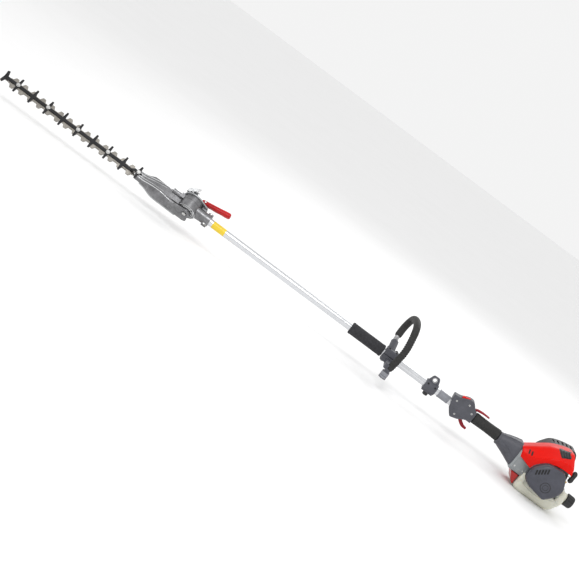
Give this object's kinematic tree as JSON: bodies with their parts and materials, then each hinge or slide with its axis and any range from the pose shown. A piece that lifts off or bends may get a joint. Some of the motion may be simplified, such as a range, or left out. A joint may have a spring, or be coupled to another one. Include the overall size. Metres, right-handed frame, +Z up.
{
  "type": "long-reach hedge trimmer",
  "caption": "Petrol long-reach hedge trimmer: engine at one end of a straight pole, loop handle midway, and a tilting double-sided cutter head at the other.",
  "frame": {"origin": "centre of the flat underside of the fuel tank", "axes": "+X along the pole towards the engine, +Z up from the tank base, -Y the air filter side (operator left)"},
  "size_m": [2.2197, 0.212, 0.2399],
  "materials": {
    "cast_aluminium": "satin shot-blasted casting",
    "cover_aluminium": "satin pressed sheet",
    "blade_steel": "ground and oiled",
    "guard_black": "black oxide, satin",
    "fastener_steel": "zinc plated",
    "shaft_steel": "turned",
    "tube_aluminium": "bright drawn",
    "latch_metal": "dark grey, satin",
    "light_plastic": "moulded",
    "clutch_grey": "light grey casting",
    "handle_red": "moulded, satin gloss",
    "shroud_red": "moulded, gloss",
    "trigger_red": "moulded, satin",
    "foam": "closed-cell foam",
    "rubber": "ribbed rubber",
    "dark_plastic": "moulded, fine grain",
    "black_plastic": "moulded, fine grain",
    "bush_plastic": "moulded nylon",
    "tank_plastic": "translucent blow-moulded"
  },
  "bodies": {
    "root": {"neck_casting": "cast_aluminium", "index_plate": "cast_aluminium", "crankcase": "cast_aluminium", "cylinder": "cast_aluminium", "carburettor": "cast_aluminium", "loop_tube": "shaft_steel", "muffler": "shaft_steel", "main_tube": "tube_aluminium", "spacer_sleeve": "light_plastic", "clutch_housing": "clutch_grey", "top_shroud": "shroud_red", "tank_guard": "shroud_red", "foam_sleeve": "foam", "air_filter": "foam", "loop_grip": "rubber", "rear_grip": "rubber", "loop_clamp_upper": "dark_plastic", "loop_clamp_lower": "dark_plastic", "harness_clamp": "dark_plastic", "throttle_housing_left": "dark_plastic", "throttle_housing_right": "dark_plastic", "clutch_cone": "dark_plastic", "air_filter_cover": "dark_plastic", "starter_housing": "dark_plastic", "muffler_guard": "black_plastic", "spark_plug": "black_plastic", "liner_bush_1": "bush_plastic", "liner_bush_2": "bush_plastic", "fuel_tank": "tank_plastic"},
    "head": {"gearcase": "cast_aluminium", "gearcase_cover": "cover_aluminium", "guard_bar": "guard_black", "support_bar": "blade_steel", "guard_bolt_1": "fastener_steel", "guard_bolt_2": "fastener_steel", "guard_bolt_3": "fastener_steel", "guard_bolt_4": "fastener_steel", "guard_bolt_5": "fastener_steel", "latch_carrier": "latch_metal", "head_handle": "handle_red", "pivot_bolt": "fastener_steel"},
    "latch_lever": {"latch_lever": "light_plastic"},
    "latch_pin": {"latch_pin": "fastener_steel"},
    "upper_blade": {"upper_blade": "blade_steel"},
    "lower_blade": {"lower_blade": "blade_steel"},
    "crank_gear": {"crank_gear": "shaft_steel"},
    "head_pinion": {"head_pinion": "shaft_steel"},
    "tilt_idler": {"tilt_idler": "shaft_steel"},
    "drive_shaft": {"drive_shaft": "shaft_steel", "clutch_drum": "shaft_steel"},
    "crankshaft": {"crankshaft": "shaft_steel", "flywheel": "cast_aluminium"},
    "throttle_trigger": {"throttle_trigger": "trigger_red"},
    "lockout_lever": {"lockout_lever": "trigger_red"},
    "stop_switch": {"stop_switch": "shroud_red"},
    "choke_lever": {"choke_lever": "black_plastic"},
    "starter_grip": {"starter_grip": "black_plastic"},
    "fuel_cap": {"fuel_cap": "black_plastic"}
  },
  "joints": [
    {"name": "head_tilt", "type": "hinge", "parent": "root", "child": "head", "pos_m": [-1.38, 0, 0.09], "axis": [0, 0.6428, 0.766], "range_deg": [-90, 45]},
    {"name": "latch_lever_turn", "type": "hinge", "parent": "head", "child": "latch_lever", "pos_m": [-1.41, 0.00526, 0.13127], "axis": [0, -0.766, 0.6428], "range_deg": [-11.5, 0], "stiffness_Nm_per_rad": 0.4},
    {"name": "latch_pin_slide", "type": "slide", "parent": "head", "child": "latch_pin", "axis": [0, 0.6428, 0.766], "range_m": [-0.0042, 0]},
    {"name": "upper_blade_slide", "type": "slide", "parent": "head", "child": "upper_blade", "axis": [1, 0, 0], "range_m": [-0.00875, 0.00875]},
    {"name": "lower_blade_slide", "type": "slide", "parent": "head", "child": "lower_blade", "axis": [1, 0, 0], "range_m": [-0.00875, 0.00875]},
    {"name": "crankshaft_turn", "type": "hinge", "parent": "root", "child": "crankshaft", "pos_m": [-0.015, 0, 0.09], "axis": [1, 0, 0], "continuous": true},
    {"name": "drive_shaft_turn", "type": "hinge", "parent": "root", "child": "drive_shaft", "pos_m": [-0.74, 0, 0.09], "axis": [1, 0, 0], "continuous": true},
    {"name": "tilt_idler_turn", "type": "hinge", "parent": "root", "child": "tilt_idler", "pos_m": [-1.38, 0, 0.09], "axis": [0, 0.6428, 0.766], "continuous": true},
    {"name": "head_pinion_turn", "type": "hinge", "parent": "head", "child": "head_pinion", "pos_m": [-1.42, 0.009, 0.10072], "axis": [1, 0, 0], "continuous": true},
    {"name": "crank_gear_turn", "type": "hinge", "parent": "head", "child": "crank_gear", "pos_m": [-1.46, 0.01532, 0.07714], "axis": [0, -0.766, 0.6428], "continuous": true},
    {"name": "throttle_trigger_pull", "type": "hinge", "parent": "root", "child": "throttle_trigger", "pos_m": [-0.315, 0, 0.072], "axis": [0, 1, 0], "range_deg": [-20, 0], "stiffness_Nm_per_rad": 0.2},
    {"name": "lockout_press", "type": "hinge", "parent": "root", "child": "lockout_lever", "pos_m": [-0.289, 0, 0.111], "axis": [0, 1, 0], "range_deg": [0, 5], "stiffness_Nm_per_rad": 0.5},
    {"name": "stop_switch_rock", "type": "hinge", "parent": "root", "child": "stop_switch", "pos_m": [-0.334, -0.011, 0.124], "axis": [0, 1, 0], "range_deg": [-6, 6]},
    {"name": "choke_turn", "type": "hinge", "parent": "root", "child": "choke_lever", "pos_m": [0.036, -0.069, 0.094], "axis": [0, 1, 0], "range_deg": [0, 60]},
    {"name": "starter_pull", "type": "slide", "parent": "root", "child": "starter_grip", "axis": [1, 0, 0], "range_m": [0, 0.03], "stiffness_N_per_m": 60},
    {"name": "fuel_cap_turn", "type": "hinge", "parent": "root", "child": "fuel_cap", "pos_m": [0.106, -0.03, 0.066], "axis": [1, 0, 0], "range_deg": [0, 120]}
  ],
  "couplings": [
    {"joint": "latch_pin_slide", "follows": "latch_lever_turn", "m_per_rad": 0.0209},
    {"joint": "lower_blade_slide", "follows": "upper_blade_slide", "ratio": -1},
    {"joint": "drive_shaft_turn", "follows": "crankshaft_turn", "ratio": 1},
    {"joint": "tilt_idler_turn", "follows": "crankshaft_turn", "ratio": 0.4},
    {"joint": "head_pinion_turn", "follows": "crankshaft_turn", "ratio": -1},
    {"joint": "crank_gear_turn", "follows": "crankshaft_turn", "ratio": -0.28}
  ]
}
